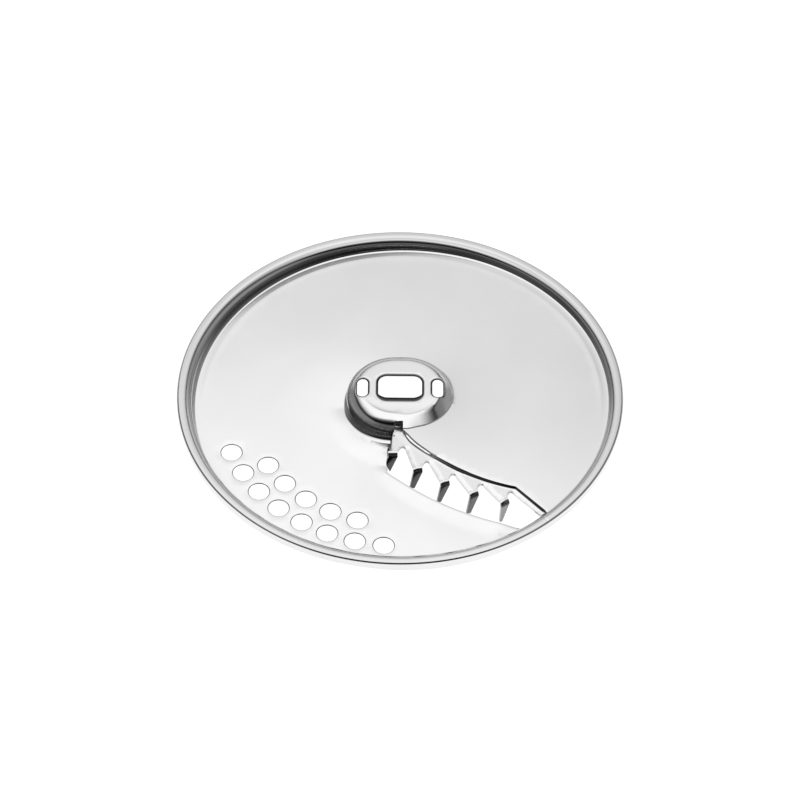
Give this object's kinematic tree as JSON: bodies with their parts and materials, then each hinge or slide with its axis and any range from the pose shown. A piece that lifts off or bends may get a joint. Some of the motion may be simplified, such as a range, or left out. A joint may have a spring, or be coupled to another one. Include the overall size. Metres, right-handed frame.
{
  "type": "food processor disc",
  "caption": "Round pressed-steel chip-cutting disc with a helical floor, a row of folded knives, drain holes and a domed hub with a drive slot.",
  "frame": {"origin": "on the disc's axis, at the level of the sheet's lowest edge", "axes": "+Z along the disc's axis towards the side that the food lies on, +X along the length of the drive slot"},
  "size_m": [0.145, 0.145, 0.0126],
  "materials": {
    "steel": "satin-polished stainless steel sheet"
  },
  "bodies": {
    "root": {"cutting_disc": "steel"}
  },
  "joints": []
}
